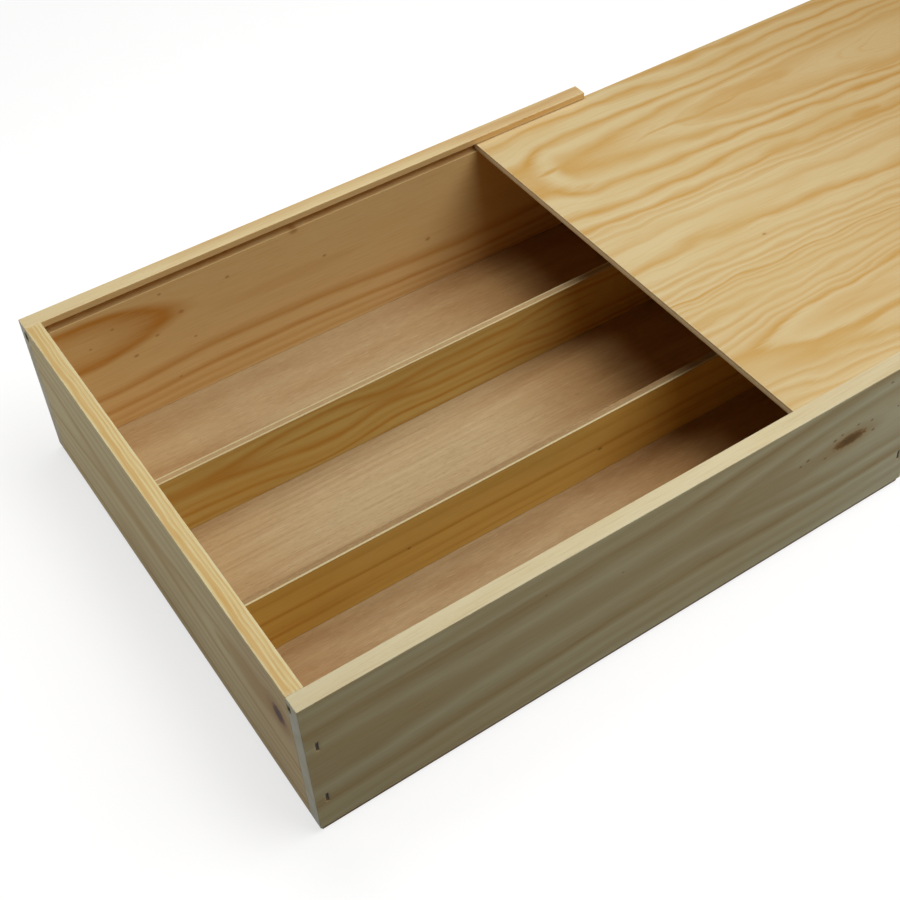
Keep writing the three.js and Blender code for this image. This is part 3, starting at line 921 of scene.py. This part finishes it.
def by_both_ends(low, high, reach, step):
    """Closer points over twice the reach at both ends, a step apart."""
    return [(low + reach, reach, step), (high - reach, reach, step)]


# How far apart the rings of a board and of a plywood are, in millimetres
BOARD_SPACING = 7.0
PLY_SPACING = 8.0

# Where the points lie closer: the middle of each place, how far it reaches, and the step there
near_staples = [(height, 4.4, 0.2) for height in STAPLE_HEIGHTS]
near_ends = [(end * STAPLE_X, 2.2, 0.16) for end in (-1, 1)]
edge_runs = by_both_ends(FRONT_LOW[0], FRONT_HIGH[0], 3, 0.75)

thickness = FRONT_HIGH[1] - FRONT_LOW[1]
section = grooved(thickness, FRONT_LOW[2], FRONT_HIGH[2])
close_by_edges = by_both_ends(FRONT_LOW[2], FRONT_HIGH[2], 2, 0.7)
side_outline = eased_outline(section, EASING, near=near_staples + close_by_edges)
side_stations = line_points(FRONT_LOW[0], FRONT_HIGH[0], BOARD_SPACING, near_ends + edge_runs)

front = carried_board(
    "front_board", side_outline, side_stations,
    along_x(FRONT_LOW[1]), EASING, solid_board("front_board_pine", FRONT_WOOD), staple_press)
stand_for(front, "side_board_front", "box")

back = carried_board(
    "back_board", side_outline, side_stations,
    along_x(BACK_HIGH[1], -1), EASING, solid_board("back_board_pine", BACK_WOOD), staple_press)
stand_for(back, "side_board_back", "box")

end_thickness = CLOSED_HIGH[0] - CLOSED_LOW[0]
end_section = grooved(end_thickness, CLOSED_LOW[2], CLOSED_HIGH[2])
end_outline = eased_outline(end_section, EASING, near=close_by_edges)
end_runs = by_both_ends(CLOSED_LOW[1], CLOSED_HIGH[1], 3, 0.75)
end_stations = line_points(CLOSED_LOW[1], CLOSED_HIGH[1], BOARD_SPACING, end_runs)
closed_end = carried_board(
    "closed_end_board", end_outline, end_stations,
    along_y(CLOSED_LOW[0]), EASING, solid_board("closed_end_pine", CLOSED_END_WOOD))
stand_for(closed_end, "end_board_closed", "box")

open_section = rectangle(end_thickness, OPEN_LOW[2], OPEN_HIGH[2])
open_outline = eased_outline(open_section, EASING, near=close_by_edges)
open_end = carried_board(
    "open_end_board", open_outline, end_stations,
    along_y(OPEN_HIGH[0], -1), EASING, solid_board("open_end_pine", OPEN_END_WOOD))
stand_for(open_end, "end_board_open", "box")

for label, node, low, high, wood in (
        ("far_divider", "divider_back", FAR_DIVIDER_LOW, FAR_DIVIDER_HIGH, FAR_DIVIDER_WOOD),
        ("near_divider", "divider_front", NEAR_DIVIDER_LOW, NEAR_DIVIDER_HIGH, NEAR_DIVIDER_WOOD)):
    section = rectangle(high[1] - low[1], low[2], high[2])
    outline = eased_outline(section, DIVIDER_EASING, near=[(high[2] - 1, 1, 0.5)])
    runs = by_both_ends(low[0], high[0], 2, 0.7)
    divider = carried_board(
        label, outline, line_points(low[0], high[0], PLY_SPACING, runs),
        along_x(low[1]), DIVIDER_EASING, plywood(label + "_ply", wood))
    stand_for(divider, node, "box")

lid_section = rectangle(LID_HIGH[1] - LID_LOW[1], LID_LOW[2], LID_HIGH[2])
lid_outline = eased_outline(lid_section, LID_EASING, spacing=PLY_SPACING)
lid_runs = by_both_ends(LID_LOW[0], LID_HIGH[0], 2, 0.7)
lid = carried_board(
    "lid_panel", lid_outline, line_points(LID_LOW[0], LID_HIGH[0], PLY_SPACING, lid_runs),
    along_x(LID_LOW[1]), LID_EASING, plywood("lid_ply", LID_WOOD))
stand_for(lid, "sliding_lid", "lid")

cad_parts["floor_panel"].data.materials[0] = floor_board("floor_ply", FLOOR_WOOD)
wire = staple_wire("staple_wire")
for name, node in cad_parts.items():
    if "staple" in name:
        node.data.materials[0] = wire


# The ground, the light and the camera

GROUND_HALF = 6.0
GROUND_LEVEL = -0.0003
# The distances from the middle between which the ground turns to plain white, in millimetres
WHITE_FROM = 420.0
WHITE_TO = 1000.0

ground_mesh = bpy.data.meshes.new("ground")
corners = [(x * GROUND_HALF, y * GROUND_HALF, GROUND_LEVEL)
           for x, y in ((-1, -1), (1, -1), (1, 1), (-1, 1))]
ground_mesh.from_pydata(corners, [], [(0, 1, 2, 3)])
ground = bpy.data.objects.new("ground", ground_mesh)
bpy.context.scene.collection.objects.link(ground)
ground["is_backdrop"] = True


def seen_directly(sheet):
    """1 for what the camera sees straight or through a reflection, 0 for light on its way."""
    path = sheet.add("ShaderNodeLightPath").socket.node.outputs
    camera, glossy, through = (Reading(sheet, path[key])
                               for key in ("Is Camera Ray", "Is Glossy Ray", "Is Transmission Ray"))
    return sheet.maths("MAXIMUM", sheet.maths("MAXIMUM", camera, glossy), through)


def pale_ground(name):
    """Pale where it is seen, and a mid grey for the light that it sends back up.

    Round the box it takes the shadow. Further out it turns to the background's plain white."""
    sheet = Sheet(bpy.data.materials.new(name))
    plain = sheet.add("ShaderNodeBsdfDiffuse", None, {"Color": grey(0.3)})
    lit = sheet.add("ShaderNodeBsdfDiffuse", None, {"Color": grey(0.4)})
    glow = sheet.add("ShaderNodeEmission", None, {"Color": grey(0.74), "Strength": 1.0})
    near_box = sheet.add("ShaderNodeAddShader", None, {0: lit, 1: glow})
    white = sheet.add("ShaderNodeEmission", None, {"Color": grey(1.0), "Strength": 1.0})
    x, y, _ = sheet.places()
    far = sheet.rise(sheet.maths("SQRT", x * x + y * y), WHITE_FROM, WHITE_TO)
    shown = sheet.add("ShaderNodeMixShader", None, {0: far, 1: near_box, 2: white})
    sockets = {0: seen_directly(sheet), 1: plain, 2: shown}
    surface = sheet.add("ShaderNodeMixShader", None, sockets)
    sheet.add("ShaderNodeOutputMaterial", None, {"Surface": surface})
    return sheet.owner


ground_mesh.materials.append(pale_ground("pale_ground"))

world = bpy.data.worlds.new("studio")
bpy.context.scene.world = world
air = Sheet(world)
soft = air.add("ShaderNodeBackground", None, {"Color": grey(1.0), "Strength": 0.02})
bright = air.add("ShaderNodeBackground", None, {"Color": grey(1.0), "Strength": 1.0})
all_round = air.add("ShaderNodeMixShader", None, {0: seen_directly(air), 1: soft, 2: bright})
air.add("ShaderNodeOutputWorld", None, {"Surface": all_round})


def lamp(name, place, target, size, power, colour):
    """A round lamp at a place, turned to a target: its size in metres and its power in watts."""
    data = bpy.data.lights.new(name, "AREA")
    data.shape, data.size, data.energy, data.color = "DISK", size, power, colour
    light = bpy.data.objects.new(name, data)
    bpy.context.scene.collection.objects.link(light)
    light.location = place
    away = light.location - type(light.location)(target)
    light.rotation_euler = away.to_track_quat("Z", "Y").to_euler()


WARM_WHITE = (1.0, 0.995, 0.98)
COOL_WHITE = (1.0, 1.0, 0.98)
lamp("right_front", (0.46, -0.42, 1.1), (0.1, -0.05, 0.0), 1.05, 10.6, WARM_WHITE)
lamp("left_back", (0.02, 0.2, 0.84), (-0.02, 0.05, 0.0), 0.4, 2.5, WARM_WHITE)
lamp("left_low", (-1.2, 0.5, 0.22), (-0.17, 0.05, 0.05), 0.4, 2.5, COOL_WHITE)

camera_data = bpy.data.cameras.new("camera")
camera_data.sensor_width, camera_data.lens = 36.0, 60.195
camera_data.shift_x, camera_data.shift_y = -0.06, -0.05
camera_data.clip_start, camera_data.clip_end = 0.01, 50.0
camera = bpy.data.objects.new("camera", camera_data)
bpy.context.scene.collection.objects.link(camera)
camera.location = (-0.28676, -0.46681, 0.59513)
camera.rotation_euler = (radians(44.7644), radians(1.3247), radians(-34.8286))
bpy.context.scene.camera = camera
bpy.context.scene.view_settings.view_transform = "Standard"

low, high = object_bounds()
